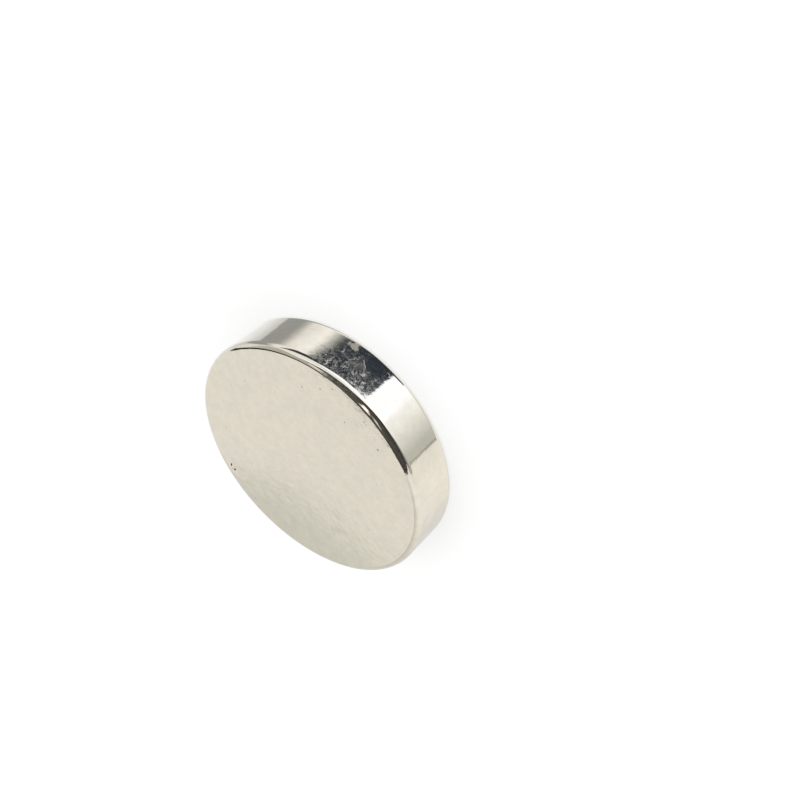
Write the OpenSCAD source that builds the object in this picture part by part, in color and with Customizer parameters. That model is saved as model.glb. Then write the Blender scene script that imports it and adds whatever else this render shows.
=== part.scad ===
// Plated disc magnet: a flat round blank whose two edges were tumbled round.
// Millimetres. It lies on its back face, centred on the origin, with +Z along its axis.

/* [Disc] */
// Diameter across the rim
disc_diameter = 20; // [6:0.5:80]
// Thickness from the back face to the front face
disc_thickness = 4; // [1.6:0.1:30]

/* [Tumbled edges] */
// Radius of the edge between the front face and the rim
front_edge_radius = 0.45; // [0.1:0.05:0.75]
// Radius of the edge between the back face and the rim
back_edge_radius = 0.45; // [0.1:0.05:0.75]

/* [Smoothness] */
// Facets round the disc in the preview
round_facets = 180; // [48:12:360]
// Facets round a full edge circle in the preview
edge_facets = 64; // [24:8:128]

/* [Hidden] */
disc_radius = disc_diameter / 2;
// How far a cutting shape reaches past the surface that it cuts
cut_over = 1;

// What tumbling takes off a square corner. The corner is at the origin, and
// the metal lies towards -X and -Y, with a quarter circle left on it.
module corner_loss(edge_radius) {
    difference() {
        translate([-edge_radius, -edge_radius]) square(edge_radius + cut_over);
        translate([-edge_radius, -edge_radius]) circle(r = edge_radius, $fn = edge_facets);
    }
}

// Half of the disc's section, from the axis out to the rim
module half_section() {
    difference() {
        square([disc_radius, disc_thickness]);
        translate([disc_radius, disc_thickness]) corner_loss(front_edge_radius);
        translate([disc_radius, 0]) mirror([0, 1]) corner_loss(back_edge_radius);
    }
}

// The magnet, turned from its section in one piece with its plating
module magnet_disc() {
    color([0.80, 0.77, 0.72])
        rotate_extrude($fn = round_facets) half_section();
}

magnet_disc();
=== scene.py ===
"""The finished look of a bright nickel-plated disc magnet, lying on a white table."""

import math

import bmesh
import bpy
from mathutils import Matrix, Quaternion, Vector


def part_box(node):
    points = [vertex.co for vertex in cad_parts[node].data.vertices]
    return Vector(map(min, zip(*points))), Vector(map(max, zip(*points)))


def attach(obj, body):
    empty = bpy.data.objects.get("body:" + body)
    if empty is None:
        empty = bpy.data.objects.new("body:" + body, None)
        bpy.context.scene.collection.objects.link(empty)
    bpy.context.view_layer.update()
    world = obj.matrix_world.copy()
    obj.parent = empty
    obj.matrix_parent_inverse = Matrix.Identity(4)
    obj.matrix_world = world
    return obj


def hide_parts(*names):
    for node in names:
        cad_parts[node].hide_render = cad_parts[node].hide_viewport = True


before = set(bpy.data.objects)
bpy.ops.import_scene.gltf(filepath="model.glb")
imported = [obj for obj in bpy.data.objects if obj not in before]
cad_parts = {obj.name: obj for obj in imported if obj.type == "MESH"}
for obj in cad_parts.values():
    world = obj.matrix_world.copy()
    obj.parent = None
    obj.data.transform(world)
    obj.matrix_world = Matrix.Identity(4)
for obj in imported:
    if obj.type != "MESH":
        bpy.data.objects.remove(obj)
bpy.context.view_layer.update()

MM = 0.001

# Sizes of the disc, in metres, read from its CAD node
low_corner, high_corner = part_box("magnet_disc")
HAIR = 0.0001 * MM
DISC_RADIUS = high_corner.x - HAIR
DISC_THICKNESS = high_corner.z
EDGE_RADIUS = 0.45 * MM
ROUND_STEPS = 360
EDGE_SEGMENTS = 16
FACE_RINGS = 40
RIM_RINGS = 12
GUARD = 0.015 * MM
PIT_CUTS = 7
PIT_REACH = 1.5
RIM_RADIUS_IN_MM = 10
FACE_HEIGHT_IN_MM = 4

# Camera
CAMERA_PLACE = Vector((0, -76.876, 52.261)) * MM
CAMERA_AIM = Vector((-1.14, -8.09, 0)) * MM
CAMERA_ROLL = math.radians(-132.72)
LENS_LENGTH = 56.25
SENSOR_WIDTH = 36

lens = bpy.data.cameras.new("product_camera")
lens.lens = LENS_LENGTH
lens.sensor_width = SENSOR_WIDTH
lens.clip_start = 0.001
lens.clip_end = 10
camera = bpy.data.objects.new("product_camera", lens)
camera.location = CAMERA_PLACE
camera.rotation_mode = "QUATERNION"
upright = (CAMERA_AIM - CAMERA_PLACE).to_track_quat("-Z", "Y")
camera.rotation_quaternion = upright @ Quaternion((0, 0, 1), CAMERA_ROLL)
bpy.context.collection.objects.link(camera)
bpy.context.scene.camera = camera
bpy.context.scene.view_settings.view_transform = "Standard"


# Small helpers for shader nodes
class Shading:
    """The node tree of one material, with short ways to add and wire its nodes."""

    def __init__(self, name):
        self.material = bpy.data.materials.new(name)
        self.material.use_nodes = True
        self.tree = self.material.node_tree
        self.tree.nodes.clear()
        self.output = self.tree.nodes.new("ShaderNodeOutputMaterial")

    def add(self, kind, settings=None, **inputs):
        """A new node. Inputs are given by name, with _ for a space, as a value or as a socket to wire."""
        node = self.tree.nodes.new(kind)
        for name, value in (settings or {}).items():
            setattr(node, name, value)
        for name, value in inputs.items():
            self.feed(node.inputs[name.replace("_", " ")], value)
        return node

    def feed(self, socket, value):
        """Wires a socket into another, or sets its value."""
        if isinstance(value, bpy.types.NodeSocket):
            self.tree.links.new(value, socket)
        else:
            socket.default_value = value

    def math(self, operation, first, second=0.0, third=0.0):
        node = self.tree.nodes.new("ShaderNodeMath")
        node.operation = operation
        for socket, value in zip(node.inputs, (first, second, third)):
            self.feed(socket, value)
        return node.outputs[0]

    def ramp(self, value, low, high, start=0.0, end=1.0):
        """Rises smoothly from start to end as value goes from low to high."""
        node = self.add(
            "ShaderNodeMapRange",
            {"interpolation_type": "SMOOTHSTEP"},
            Value=value,
            From_Min=low,
            From_Max=high,
            To_Min=start,
            To_Max=end,
        )
        return node.outputs["Result"]

    def noise(self, place, scale, detail=2.0, roughness=0.5, distortion=0.0):
        node = self.add(
            "ShaderNodeTexNoise",
            Vector=place,
            Scale=scale,
            Detail=detail,
            Roughness=roughness,
            Distortion=distortion,
        )
        return node.outputs["Fac"]

    def local(self, place, centre, turn, half_sizes):
        """Coordinates that run from -1 to 1 over a box with that centre, turn and half sizes."""
        node = self.add(
            "ShaderNodeMapping",
            {"vector_type": "TEXTURE"},
            Vector=place,
            Location=centre,
            Rotation=turn,
            Scale=half_sizes,
        )
        return node.outputs[0]

    def bent(self, place, scale, reach):
        """The place, shifted by noise by up to that reach, so that marks drawn there aren't straight."""
        shift = self.add("ShaderNodeTexNoise", Vector=place, Scale=scale, Detail=3.0).outputs["Color"]
        centred = self.tree.nodes.new("ShaderNodeVectorMath")
        centred.operation = "SUBTRACT"
        self.feed(centred.inputs[0], shift)
        self.feed(centred.inputs[1], (0.5, 0.5, 0.5))
        moved = self.tree.nodes.new("ShaderNodeVectorMath")
        moved.operation = "MULTIPLY_ADD"
        self.feed(moved.inputs[0], centred.outputs[0])
        self.feed(moved.inputs[1], (2 * reach, 2 * reach, 2 * reach))
        self.feed(moved.inputs[2], place)
        return moved.outputs[0]

    def length(self, vector):
        node = self.add("ShaderNodeVectorMath", {"operation": "LENGTH"}, Vector=vector)
        return node.outputs["Value"]

    def blend(self, factor, first, second):
        node = self.tree.nodes.new("ShaderNodeMix")
        node.data_type = "RGBA"
        for index, value in ((0, factor), (6, first), (7, second)):
            self.feed(node.inputs[index], value)
        return node.outputs[2]


# Nickel plating
NICKEL = (0.76, 0.708, 0.602, 1)
NICKEL_COOL = (0.728, 0.686, 0.592, 1)
FILM = (0.52, 0.48, 0.38, 1)
SCUFFED = (0.65, 0.63, 0.585, 1)
PATCHED = (0.68, 0.64, 0.53, 1)
# Colour of the dark specks on the face, and of the painted shade inside the pits
SPECK_AND_PIT_SHADE = (0.06, 0.055, 0.05, 1)
PEEL_HEIGHT = 5e-6


def on_rim(angle, height):
    """A place on the rim in millimetres. Angle 0 faces -Y, and a positive angle turns towards +X."""
    turn = math.radians(angle)
    return (RIM_RADIUS_IN_MM * math.sin(turn), -RIM_RADIUS_IN_MM * math.cos(turn), height)


# Marks on the rim: angle, height, half width, half height, lean, all in millimetres and degrees
RIM_SCUFF = (15.2, 2.05, 0.50, 0.66, 0)
RIM_SCRATCHES = (
    (17.4, 1.60, 0.055, 0.62, 39),
    (12.8, 1.60, 0.060, 0.78, -54),
    (23.8, 3.00, 0.070, 0.80, 3),
    (25.6, 3.10, 0.045, 0.34, -50),
    (20.6, 2.95, 0.045, 0.46, -28),
    (17.2, 2.75, 0.045, 0.50, 30),
    (10.9, 3.00, 0.045, 0.50, -24),
    (14.0, 2.50, 0.050, 0.36, 12),
    (18.5, 2.25, 0.045, 0.40, 18),
    (10.6, 2.25, 0.050, 0.42, 26),
    (13.2, 2.76, 0.220, 0.18, 0),
)
RIM_PATCH = (21.8, 0.66, 0.46, 0.44, 6)
RIM_CLEAN = (8.9, 0.85, 0.86, 0.80, 0)
RIM_WORN = (17.0, 2.2, 2.7, 2.4, 0)
RIM_STAINS = (
    (-35.5, 2.60, 0.45, 0.80, 0),
    (-43.0, 1.05, 0.22, 0.16, 0),
    (-16.0, 3.35, 0.12, 0.12, 0),
    (40.5, 1.10, 0.30, 0.20, 0),
    (35.5, 1.90, 0.22, 0.24, 0),
    (-62.0, 1.60, 0.60, 0.50, 0),
    (58.0, 3.00, 0.90, 0.45, 0),
    (66.0, 2.30, 0.80, 0.60, 0),
)
RIM_SPECKS = (
    (5.9, 1.88, 0.15, 0.11, 20),
    (23.1, 1.56, 0.10, 0.20, 0),
    (26.8, 2.75, 0.10, 0.08, 40),
    (7.7, 2.95, 0.12, 0.11, 0),
    (8.4, 2.55, 0.14, 0.10, -30),
    (3.6, 0.80, 0.05, 0.16, 0),
)
# Specks on the front face: place, half size
FACE_SPECKS = (
    (-2.61, -7.80, 0.11),
    (7.31, -1.29, 0.08),
    (6.06, 4.99, 0.07),
    (4.03, -6.13, 0.09),
    (3.06, -7.56, 0.08),
    (2.45, -8.60, 0.07),
    (0.28, -7.05, 0.07),
    (-0.57, -8.78, 0.07),
    (0.59, 8.88, 0.08),
    (-4.40, -4.90, 0.06),
)
# Pits on the front face: place, half length, half width, turn, depth
FACE_PITS = (
    (3.78, 8.19, 0.18, 0.07, 118, 0.06),
    (3.32, 8.31, 0.12, 0.09, 20, 0.05),
)
FACE_STAIN = (-5.25, 3.30, 1.00, 0.32, 62)


def rim_mark(s, place, mark):
    """How far out a point is in a mark on the rim: 0 at its centre and 1 at its outline."""
    angle, height, half_width, half_height, lean = mark
    turned = (0, math.radians(lean), math.radians(angle))
    return s.length(s.local(place, on_rim(angle, height), turned, (half_width, 1.0, half_height)))


def face_mark(s, place, x, y, half_length, half_width, turn=0):
    """How far out a point is in a mark on the front face: 0 at its centre and 1 at its outline."""
    turned = (0, 0, math.radians(turn))
    centre = (x, y, FACE_HEIGHT_IN_MM)
    return s.length(s.local(place, centre, turned, (half_length, half_width, 0.5)))


def nickel_plating():
    """Bright nickel: a mirror with orange peel, hairlines, smudges and the marks of handling."""
    s = Shading("nickel_plating")
    here = s.add("ShaderNodeTexCoord").outputs["Object"]
    scaled = s.add("ShaderNodeVectorMath", {"operation": "SCALE"}, Vector=here, Scale=1000.0)
    place = scaled.outputs[0]

    # Orange peel of the plating in two sizes, and the hairlines of tumbling
    peel = s.noise(place, 1.1, 2.0, 0.5)
    fine_peel = s.noise(place, 4.0, 4.0, 0.6)
    hairlines = 0.0
    for turn in (20, 95, 150):
        stretched = s.local(place, (0, 0, 0), (0.2, 0.3, math.radians(turn)), (1.6, 0.035, 1.6))
        lines_here = s.noise(stretched, 1.0, 1.0, 0.5)
        hairlines = s.math("MAXIMUM", hairlines, s.ramp(lines_here, 0.70, 0.80))

    # Smudges left by fingers and by other parts in the tumbler, more of them near the front
    wander = s.math("SUBTRACT", s.noise(place, 2.4, 5.0, 0.7), 0.5)
    rise = s.add("ShaderNodeSeparateXYZ", Vector=place).outputs["Z"]
    worn = s.math("MULTIPLY", s.ramp(rise, 0.5, 3.1, 0.34, 1.0), s.ramp(rise, 3.45, 3.75, 1.0, 0.35))
    worn = s.math("MULTIPLY", worn, s.ramp(rim_mark(s, place, RIM_WORN), 1.2, 0.75, 0.15, 1.0))
    clean = s.ramp(s.math("MULTIPLY_ADD", wander, 1.4, rim_mark(s, place, RIM_CLEAN)), 0.85, 1.15)
    worn = s.math("MULTIPLY", worn, s.math("MULTIPLY_ADD", clean, 0.88, 0.12))
    cloud = s.ramp(s.noise(place, 0.9, 4.0, 0.6, 0.4), 0.34, 0.66, 0.6, 1.0)
    blotches = s.ramp(s.noise(place, 1.9, 6.0, 0.74, 1.0), 0.42, 0.68)
    grain = s.ramp(s.noise(place, 4.2, 5.0, 0.66, 0.8), 0.45, 0.64)
    smudge = s.math("MULTIPLY", s.math("MULTIPLY", blotches, cloud), worn)

    # The scuff on the rim, with the scratches, the patch and the specks round it
    bent = s.bent(place, 2.2, 0.5)
    scuff = s.math("MULTIPLY_ADD", wander, 1.6, rim_mark(s, bent, RIM_SCUFF))
    inside = s.ramp(scuff, 1.1, 0.7)
    scratches = 0.0
    for mark in RIM_SCRATCHES:
        out = s.math("MULTIPLY_ADD", wander, 1.2, rim_mark(s, bent, mark))
        scratches = s.math("MAXIMUM", scratches, s.ramp(out, 1.05, 0.35))
    patch = s.ramp(s.math("MULTIPLY_ADD", wander, 2.0, rim_mark(s, bent, RIM_PATCH)), 1.1, 0.7)
    stains = 0.0
    for mark in RIM_STAINS:
        out = s.math("MULTIPLY_ADD", wander, 3.0, rim_mark(s, place, mark))
        stains = s.math("MAXIMUM", stains, s.ramp(out, 1.2, 0.3, 0.0, 0.14))
    specks = 0.0
    for mark in RIM_SPECKS:
        out = s.math("MULTIPLY_ADD", wander, 2.2, rim_mark(s, bent, mark))
        specks = s.math("MAXIMUM", specks, s.ramp(out, 1.1, 0.3))

    # Specks, pits and the stain on the front face; the pits are also painted near black, as painted shade in
    # their hollows
    specks_and_pit_shade = 0.0
    for x, y, half_size in FACE_SPECKS:
        out = s.math("MULTIPLY_ADD", wander, 1.2, face_mark(s, place, x, y, half_size, half_size))
        specks_and_pit_shade = s.math("MAXIMUM", specks_and_pit_shade, s.ramp(out, 1.2, 0.3, 0.0, 0.38))
    # Each pit is painted near black over its middle: painted shade in the hollow, on top of the dent that
    # press_pit makes
    for x, y, half_length, half_width, turn, _ in FACE_PITS:
        out = face_mark(s, place, x, y, half_length, half_width, turn)
        specks_and_pit_shade = s.math("MAXIMUM", specks_and_pit_shade, s.ramp(out, 1.1, 0.6))
    stain = s.ramp(
        s.math("MULTIPLY_ADD", wander, 2.0, face_mark(s, place, *FACE_STAIN)), 1.2, 0.3, 0.0, 0.25
    )

    # Haze scatters light, and so shows where the plating mirrors something dark
    haze = s.math("MULTIPLY", smudge, 0.10)
    haze = s.math("MULTIPLY_ADD", s.math("MULTIPLY", grain, worn), 0.27, haze)
    haze = s.math("MULTIPLY_ADD", inside, 0.045, haze)
    haze = s.math("MULTIPLY_ADD", scratches, 0.42, haze)
    haze = s.math("MULTIPLY_ADD", patch, 0.42, haze)
    haze = s.math("MULTIPLY_ADD", specks, 0.52, haze)
    metallic = s.math("SUBTRACT", 1.0, haze)

    roughness = s.math("MULTIPLY_ADD", specks_and_pit_shade, 0.35, 0.045)
    roughness = s.math("MULTIPLY_ADD", hairlines, 0.05, roughness)

    tint = s.ramp(s.noise(place, 0.45, 5.0, 0.6, 0.5), 0.35, 0.65)
    colour = s.blend(tint, NICKEL, NICKEL_COOL)
    mottle = s.noise(place, 1.25, 7.0, 0.74, 0.3)
    colour = s.blend(s.ramp(mottle, 0.3, 0.7, 0.0, 0.28), colour, FILM)
    colour = s.blend(s.math("MULTIPLY", smudge, 0.10), colour, FILM)
    colour = s.blend(s.math("MAXIMUM", stain, stains), colour, FILM)
    colour = s.blend(s.ramp(haze, 0.03, 0.2, 0.0, 0.8), colour, SCUFFED)
    colour = s.blend(patch, colour, PATCHED)
    # The specks' own dark colour, and the painted shade in the pits
    colour = s.blend(specks_and_pit_shade, colour, SPECK_AND_PIT_SHADE)

    height = s.math("MULTIPLY_ADD", fine_peel, 0.28, peel)
    height = s.math("MULTIPLY_ADD", hairlines, -0.012, height)
    height = s.math("MULTIPLY_ADD", inside, 0.06, height)
    bump = s.add("ShaderNodeBump", Strength=1.0, Distance=PEEL_HEIGHT, Height=height)

    shader = s.add(
        "ShaderNodeBsdfPrincipled",
        Base_Color=colour,
        Metallic=metallic,
        Roughness=roughness,
        Normal=bump.outputs[0],
    )
    s.feed(s.output.inputs["Surface"], shader.outputs[0])
    return s.material


# The disc, spun from its half section
def spun_disc():
    """The disc with its tumbled edges, as one closed skin."""
    bm = bmesh.new()
    corners = [
        bm.verts.new(place)
        for place in (
            (0, 0, 0),
            (DISC_RADIUS, 0, 0),
            (DISC_RADIUS, 0, DISC_THICKNESS),
            (0, 0, DISC_THICKNESS),
        )
    ]
    for pair in zip(corners, corners[1:]):
        bm.edges.new(pair)
    bmesh.ops.bevel(
        bm,
        geom=corners[1:3],
        affect="VERTICES",
        offset=EDGE_RADIUS,
        offset_type="OFFSET",
        segments=EDGE_SEGMENTS,
        profile=0.5,
        material=-1,
    )
    long_edges = sorted(bm.edges, key=lambda e: -e.calc_length())[:3]
    for edge in long_edges:
        # A guard ring beside each rounded edge keeps the plane and the rim true in the shading
        for vert in edge.verts[:]:
            if vert.co.x > 0:
                bmesh.utils.edge_split(edge, vert, GUARD / edge.calc_length())
        is_rim = abs(edge.verts[0].co.z - edge.verts[1].co.z) > EDGE_RADIUS
        cuts = RIM_RINGS if is_rim else FACE_RINGS
        bmesh.ops.subdivide_edges(bm, edges=[edge], cuts=cuts)
    bmesh.ops.spin(
        bm,
        geom=bm.verts[:] + bm.edges[:],
        cent=(0, 0, 0),
        axis=(0, 0, 1),
        angle=math.tau,
        steps=ROUND_STEPS,
        use_merge=True,
    )
    bmesh.ops.remove_doubles(bm, verts=bm.verts, dist=1e-7)
    bmesh.ops.recalc_face_normals(bm, faces=bm.faces)
    return bm


def press_pit(bm, pit):
    """Presses one pit into the front face, after making its mesh finer there."""
    x, y, half_length, half_width, turn, depth = pit
    centre = Vector((x, y, FACE_HEIGHT_IN_MM)) * MM
    reach = half_length * PIT_REACH * MM
    near = [
        face
        for face in bm.faces
        if (face.calc_center_median() - centre).length < reach and face.normal.z > 0.9
    ]
    around = {edge for face in near for edge in face.edges}
    bmesh.ops.subdivide_edges(bm, edges=list(around), cuts=PIT_CUTS, use_grid_fill=True)
    straight = Matrix.Rotation(math.radians(-turn), 3, "Z")
    for vert in bm.verts:
        away = straight @ (vert.co - centre)
        if abs(away.z) > HAIR:
            continue
        share = math.hypot(away.x / (half_length * MM), away.y / (half_width * MM))
        if share < 1:
            vert.co.z -= depth * MM * (1 - share * share) ** 2


def finished(bm, name, material):
    """An object made of that mesh, smooth all over."""
    for face in bm.faces:
        face.smooth = True
    mesh = bpy.data.meshes.new(name)
    bm.to_mesh(mesh)
    bm.free()
    mesh.materials.append(material)
    piece = bpy.data.objects.new(name, mesh)
    bpy.context.collection.objects.link(piece)
    return piece


disc_skin = spun_disc()
for pit in FACE_PITS:
    press_pit(disc_skin, pit)
disc = finished(disc_skin, "plated_disc", nickel_plating())
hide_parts("magnet_disc")
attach(disc, "root")


# Studio
def towards(azimuth, elevation):
    """A direction. Azimuth 0 is -Y and 90 is +X; elevation is above the table, in degrees."""
    a = math.radians(azimuth)
    e = math.radians(elevation)
    return Vector((math.sin(a) * math.cos(e), -math.cos(a) * math.cos(e), math.sin(e)))


def glow(name):
    """The surface of a card: its own light, and clear where its cover is thin."""
    s = Shading(name)
    tone = s.add("ShaderNodeAttribute", {"attribute_name": "tone"})
    cover = s.add("ShaderNodeAttribute", {"attribute_name": "cover"})
    light = s.add("ShaderNodeEmission", Color=tone.outputs["Color"], Strength=1.0)
    clear = s.add("ShaderNodeBsdfTransparent")
    mixed = s.tree.nodes.new("ShaderNodeMixShader")
    s.feed(mixed.inputs[0], cover.outputs["Fac"])
    s.feed(mixed.inputs[1], clear.outputs[0])
    s.feed(mixed.inputs[2], light.outputs[0])
    s.feed(s.output.inputs["Surface"], mixed.outputs[0])
    s.material.cycles.emission_sampling = "NONE"
    return s.material


CARD_GLOW = glow("card_glow")
CARD_STEPS = 24
CARD_FOOT = -72


def soft_step(value, width):
    """From 0 to 1 as value goes from 0 to width, smoothly."""
    if width <= 0:
        return 1.0
    t = min(max(value / width, 0.0), 1.0)
    return t * t * (3 - 2 * t)


def card(name, distance, left, right, tones, fades=(0, 0, 0, 0)):
    """A card that only mirrors see, stretched between two lines of directions.

    Tones are its colours from left to right, where 1 is white. Fades are the shares of its
    width and length over which it thins out to its left, right, first and last side.
    """
    bm = bmesh.new()
    tone = bm.verts.layers.float_color.new("tone")
    cover = bm.verts.layers.float.new("cover")
    share = bm.verts.layers.float.new("share")
    along = bm.verts.layers.float.new("along")
    borders = []
    for side, line in enumerate((left, right)):
        verts = []
        for index, direction in enumerate(line):
            vert = bm.verts.new(direction.normalized() * distance)
            vert[share] = side
            vert[along] = index / (len(line) - 1)
            verts.append(vert)
        borders.append(verts)
    first, second = borders
    for corners in zip(first, first[1:], second[1:], second):
        bm.faces.new(corners)
    bmesh.ops.subdivide_edges(bm, edges=bm.edges[:], cuts=CARD_STEPS, use_grid_fill=True)
    for vert in bm.verts:
        vert.co = vert.co.normalized() * distance
        across = vert[share] * (len(tones) - 1)
        step = min(int(across), len(tones) - 2)
        colour = Vector(tones[step]).lerp(Vector(tones[step + 1]), across - step)
        vert[tone] = (*colour, 1)
        vert[cover] = (
            soft_step(vert[share], fades[0])
            * soft_step(1 - vert[share], fades[1])
            * soft_step(vert[along], fades[2])
            * soft_step(1 - vert[along], fades[3])
        )
    piece = finished(bm, name, CARD_GLOW)
    piece.visible_camera = False
    piece.visible_diffuse = False
    piece.visible_transmission = False
    piece.visible_shadow = False


def lines(*directions):
    """One border of a card, from azimuths and elevations."""
    return [towards(azimuth, elevation) for azimuth, elevation in directions]


def foot_line(*azimuths):
    """A border of a card that runs along its lowest side."""
    return lines(*((azimuth, CARD_FOOT) for azimuth in azimuths))


def strip_light(name, distance, lean, half_width, angles, tone):
    """A narrow light that runs over the top from the front to the back."""
    rises = [math.radians(angle) for angle in angles]
    sides = [
        [Vector((lean + side, -math.cos(rise), math.sin(rise))) for rise in rises]
        for side in (half_width, -half_width)
    ]
    card(name, distance, *sides, [tone, tone], fades=(0.4, 0.4, 0.1, 0.1))


def grey(level):
    return (level, level, level)


# Black flag beside the table, mirrored by the rim and, in its upper part, by the front edge
card(
    "side_flag",
    10.0,
    lines(
        (-8, -48), (-2, -42), (2, -39.5), (4.5, -38), (6, -37), (6.5, -36.2), (10, -35.9), (14, -35.7),
        (21, -35.4), (27, -35.2), (32, -35), (38, -34.2), (44, -33.6), (50, -33.5), (57, -33.8), (64, -34.4),
        (69, -35), (74, -35.6),
    ),
    foot_line(-12, -8, -4, 0, 4, 7, 10, 14, 18, 22, 26, 32, 38, 44, 50, 57, 65, 74),
    [(0.033, 0.045, 0.066), (0.033, 0.045, 0.066)],
    fades=(0, 0, 0, 0.24),
)
card(
    "side_flag_top",
    10.1,
    lines(
        (26, -35.6), (32, -34.5), (35.5, -27), (39, -20), (44, -12), (50, -1.5), (57.4, 2), (67, 6.5),
        (75, 10), (86, 15.5),
    ),
    lines(
        (60, -36.5), (64, -36), (69, -36), (77, -35.3), (81, -33.5), (81.5, -27), (80.5, -17), (80.5, -6),
        (82.5, 4), (86.5, 14),
    ),
    [(0.04, 0.05, 0.068), (0.04, 0.048, 0.06)],
    fades=(0, 0.28, 0, 0.05),
)
# Black flag overhead, mirrored by the front edge
card(
    "overhead_flag",
    10.4,
    lines(
        (-177, 36.2), (-171, 45), (-164, 50.5), (-152.5, 56), (-138, 60), (-111, 60.2), (-89, 54.6),
        (-79, 48.4), (-74, 43),
    ),
    lines(
        (178, 36.2), (172.5, 44.5), (166, 52.5), (156, 59.7), (140, 65.4), (117, 68), (93, 66), (72, 60.5),
        (52, 54),
    ),
    [(0.04, 0.04, 0.038), (0.075, 0.073, 0.071)] + [(0.09, 0.088, 0.086)] * 5 + [(0.22, 0.22, 0.2)],
    fades=(0.01, 0.1, 0, 0),
)
card(
    "overhead_flag_front",
    10.6,
    lines(
        (-55, 20), (-52, 11), (-47.5, 9), (-39, 8), (-29, 5), (-19.5, 2), (-9.8, 3), (0, 11),
        (10, 21), (20.4, 27), (31.6, 32.5), (43.2, 37), (55, 43.5), (66, 49), (78, 52),
    ),
    lines(
        (-79, 52), (-74, 57), (-68, 62), (-58, 68), (-45, 73), (-30, 76), (-15, 78), (0, 79), (15, 78),
        (30, 75), (42, 69), (56, 66), (72, 63), (86, 58), (94, 52),
    ),
    [(0.03, 0.029, 0.026), (0.075, 0.073, 0.071), (0.09, 0.088, 0.086)],
    fades=(0.04, 0, 0, 0.04),
)
# Shade below the flag's edge
card(
    "flag_shade",
    10.9,
    lines((-64, -32), (-52, -32), (-42, -30), (-32, -20), (-20, -6)),
    lines((-60, 12), (-52, 14), (-42, 14), (-32, 12), (-20, 8)),
    [grey(0.26), grey(0.26)],
    fades=(0.95, 0, 0.2, 0.3),
)
# Soft box in front, the brightest thing in the rim, and its dimmer upper part
card(
    "soft_box",
    11.2,
    lines((-19, CARD_FOOT), (-20, -36), (-17, -20), (-14, -4), (-10, 6)),
    lines((40, CARD_FOOT), (40, -34), (50, -22), (56, -6), (66, 6)),
    [(1.44, 1.52, 1.74), (1.44, 1.52, 1.74)],
    fades=(0.09, 0, 0, 0.06),
)
card(
    "soft_box_top",
    11.3,
    lines((-16, -8), (-12, 4), (0, 21), (22, 33), (45, 42), (66, 51), (104, 52)),
    lines((50, -20), (56, -6), (62, 4), (68, 9), (74, 12), (84, 18), (96, 36)),
    [(1.5, 1.5, 1.56), (1.2, 1.21, 1.27), (1.06, 1.07, 1.13), (1.06, 1.07, 1.13), (1.08, 1.1, 1.16)],
    fades=(0.06, 0, 0, 0.08),
)
# Pale spot on the ceiling
card(
    "ceiling_spot",
    11.4,
    lines((88, 69), (106, 71), (138, 68)),
    lines((92, 60), (110, 62), (136, 60)),
    [(1.1, 1.03, 1.0), (1.1, 1.03, 1.0)],
    fades=(0.3, 0.4, 0.3, 0.3),
)
# Strip light over the top
strip_light("strip_light", 10.0, 0.0, 0.06, range(54, 112, 10), (1.7, 1.6, 1.72))
strip_light("faint_strip", 10.2, -0.12, 0.05, range(70, 110, 8), (0.9, 0.87, 0.85))
# Dark seam between the shaded wall and the side wall
card(
    "seam",
    11.8,
    lines(
        (-59.2, CARD_FOOT), (-59.2, -37.1), (-59.8, -36.9), (-58.8, -36.7), (-59.9, -36.5),
        (-59.2, -36.35), (-58.6, -36.2), (-59.6, -36), (-59, -35.8), (-59.7, -35.6),
        (-58.9, -35.4), (-59.2, -34), (-59.2, 20),
    ),
    lines(
        (-61.6, CARD_FOOT), (-61.4, -37.1), (-61.8, -36.9), (-61.4, -36.7), (-61.2, -36.5),
        (-61.7, -36.35), (-60.4, -36.2), (-60.8, -36), (-61.8, -35.8), (-60.9, -35.6),
        (-61.7, -35.4), (-61.4, -34), (-61.6, 20),
    ),
    [grey(0.40), grey(0.40)],
    fades=(0.35, 0.35, 0, 0),
)
# Shaded wall on the far side of the soft box
card(
    "shaded_wall",
    12.0,
    lines((-12, CARD_FOOT), (-12, 20)),
    lines((-62, CARD_FOOT), (-62, 20)),
    [
        (1.5, 1.52, 1.65), (1.29, 1.32, 1.42), (1.12, 1.16, 1.2), (0.9, 0.93, 0.95), (0.66, 0.69, 0.67),
        (0.66, 0.67, 0.66),
    ],
)
# Wall on the side, a little brighter than the table
card(
    "side_wall",
    12.4,
    lines((-61, CARD_FOOT), (-61, 50)),
    lines((-173, CARD_FOOT), (-170, 50)),
    [
        grey(1.02), grey(1.06), grey(1.12), grey(1.13), grey(1.1), grey(0.98), grey(0.85), grey(0.8),
        grey(0.72), grey(0.66),
    ],
    fades=(0.01, 0.1, 0, 0.2),
)
# Grey card
card(
    "grey_card",
    11.0,
    lines((90, CARD_FOOT), (88, -20), (90, 10), (92, 22)),
    lines((123, CARD_FOOT), (122, -20), (112, 10), (106, 22)),
    [(0.42, 0.43, 0.45), (0.40, 0.42, 0.44)],
    fades=(0.4, 0.1, 0, 0.2),
)
# Pale walls behind
card(
    "pale_wall",
    12.4,
    lines((60, CARD_FOOT), (60, 14)),
    lines((98, CARD_FOOT), (98, 14)),
    [grey(1.28), (1.25, 1.28, 1.34), (1.08, 1.09, 1.12), grey(0.9)],
)
card(
    "back_wall",
    12.4,
    lines((115, CARD_FOOT), (108, 12)),
    lines((179, CARD_FOOT), (160, 12)),
    [(0.8, 0.82, 0.85), (0.78, 0.8, 0.86), (0.98, 1.01, 1.06), (1.07, 1.1, 1.14), (1.06, 1.08, 1.1)],
    fades=(0, 0.1, 0, 0.2),
)
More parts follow.
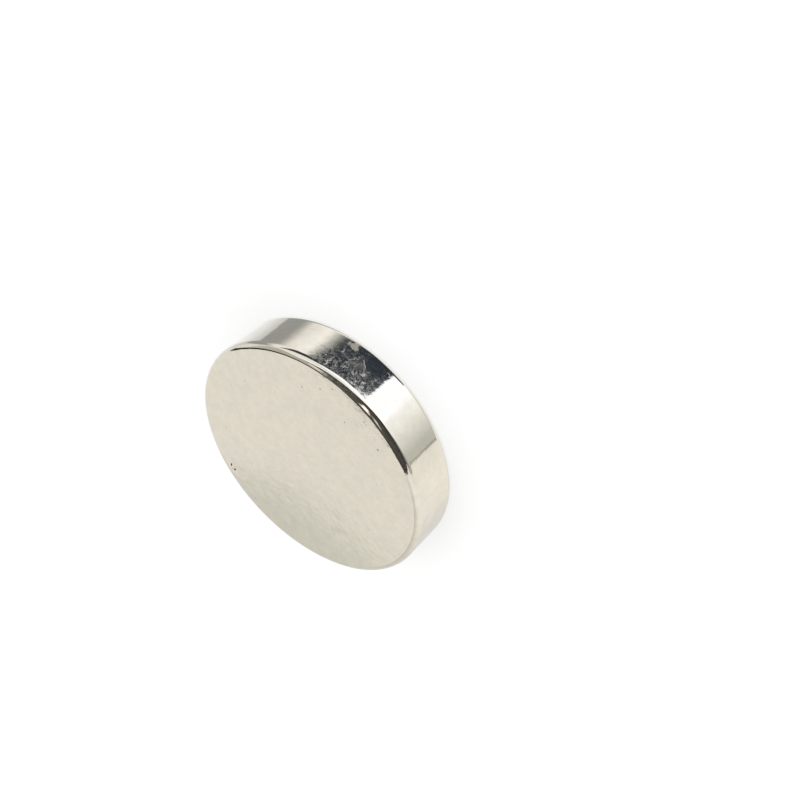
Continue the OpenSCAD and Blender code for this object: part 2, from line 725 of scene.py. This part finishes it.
# Beige ceiling
card(
    "ceiling",
    12.0,
    lines((90, 20), (108, 24), (122, 28), (134, 33), (150, 39), (168, 40), (178, 36.6)),
    lines((82, 50), (94, 62), (112, 70), (140, 71), (160, 64), (172, 52), (178, 40)),
    [(0.8, 0.8, 0.79), (0.62, 0.61, 0.59), (0.56, 0.55, 0.52), (0.66, 0.63, 0.58)],
    fades=(0.2, 0.05, 0.1, 0.05),
)
# Dark rail behind
card(
    "dark_rail",
    10.8,
    lines(
        (178.5, 36), (174, 35.7), (169, 36.2), (162, 36.8), (156, 35.8), (150, 32), (145, 27.5), (139, 21),
        (134, 12),
    ),
    lines(
        (176, 53), (170, 56), (163, 55), (155, 51), (147, 46), (140, 39), (135, 31), (131, 22), (127, 10),
    ),
    [(0.02, 0.02, 0.016), (0.03, 0.03, 0.025)],
    fades=(0.05, 0.35, 0.05, 0.2),
)
# Low wall, mirrored along one side of the face
card(
    "low_wall",
    11.6,
    lines(
        (168, -30), (175, 26.6), (177.6, 30.2), (180, 31.6), (-177, 32.3), (-174.5, 32.6), (-171, 32.8),
        (-160, 32.9),
    ),
    lines((172, -30), (180, 16), (-178, 15), (-176, 14), (-172, 12), (-167, 9), (-155, 0), (-140, -20)),
    [(0.79, 0.81, 0.79), (0.77, 0.79, 0.77), (0.86, 0.88, 0.92), (1.0, 1.02, 1.08)],
    fades=(0.11, 0.1, 0, 0.2),
)


TABLE_WHITENING = 0.65
TABLE_HALF_SIZE = 20
TABLE_DROP = 0.01 * MM
KEY_POWER = 1.6
KEY_SIZE = 0.5
KEY_DISTANCE = 0.8
KEY_DIRECTION = (40, 60)


def white_table():
    """Pale and matt, and lighter to rays from the camera, mirrors and glass, so that it reads as white."""
    s = Shading("white_table")
    matt = s.add("ShaderNodeBsdfDiffuse", Color=(0.92, 0.92, 0.92, 1))
    white = s.add("ShaderNodeEmission", Color=(1, 1, 1, 1), Strength=1.0)
    rays = s.add("ShaderNodeLightPath").outputs
    seen = s.math("MAXIMUM", rays["Is Camera Ray"], rays["Is Glossy Ray"])
    seen = s.math("MAXIMUM", seen, rays["Is Transmission Ray"])
    mixed = s.tree.nodes.new("ShaderNodeMixShader")
    s.feed(mixed.inputs[0], s.math("MULTIPLY", seen, TABLE_WHITENING))
    s.feed(mixed.inputs[1], matt.outputs[0])
    s.feed(mixed.inputs[2], white.outputs[0])
    s.feed(s.output.inputs["Surface"], mixed.outputs[0])
    return s.material


table = bmesh.new()
bmesh.ops.create_grid(table, x_segments=2, y_segments=2, size=TABLE_HALF_SIZE)
bmesh.ops.translate(table, verts=table.verts, vec=(0, 0, -TABLE_DROP))
floor = finished(table, "table", white_table())
floor.visible_glossy = False

world = bpy.data.worlds.new("white_room")
world.use_nodes = True
world.node_tree.nodes["Background"].inputs["Color"].default_value = (1, 1, 1, 1)
world.node_tree.nodes["Background"].inputs["Strength"].default_value = 1.0
bpy.context.scene.world = world

key = bpy.data.lights.new("key_light", "AREA")
key.energy = KEY_POWER
key.size = KEY_SIZE
key_light = bpy.data.objects.new("key_light", key)
key_light.location = towards(*KEY_DIRECTION) * KEY_DISTANCE
key_light.rotation_mode = "QUATERNION"
key_light.rotation_quaternion = (-key_light.location).to_track_quat("-Z", "Y")
key_light.visible_glossy = False
bpy.context.collection.objects.link(key_light)
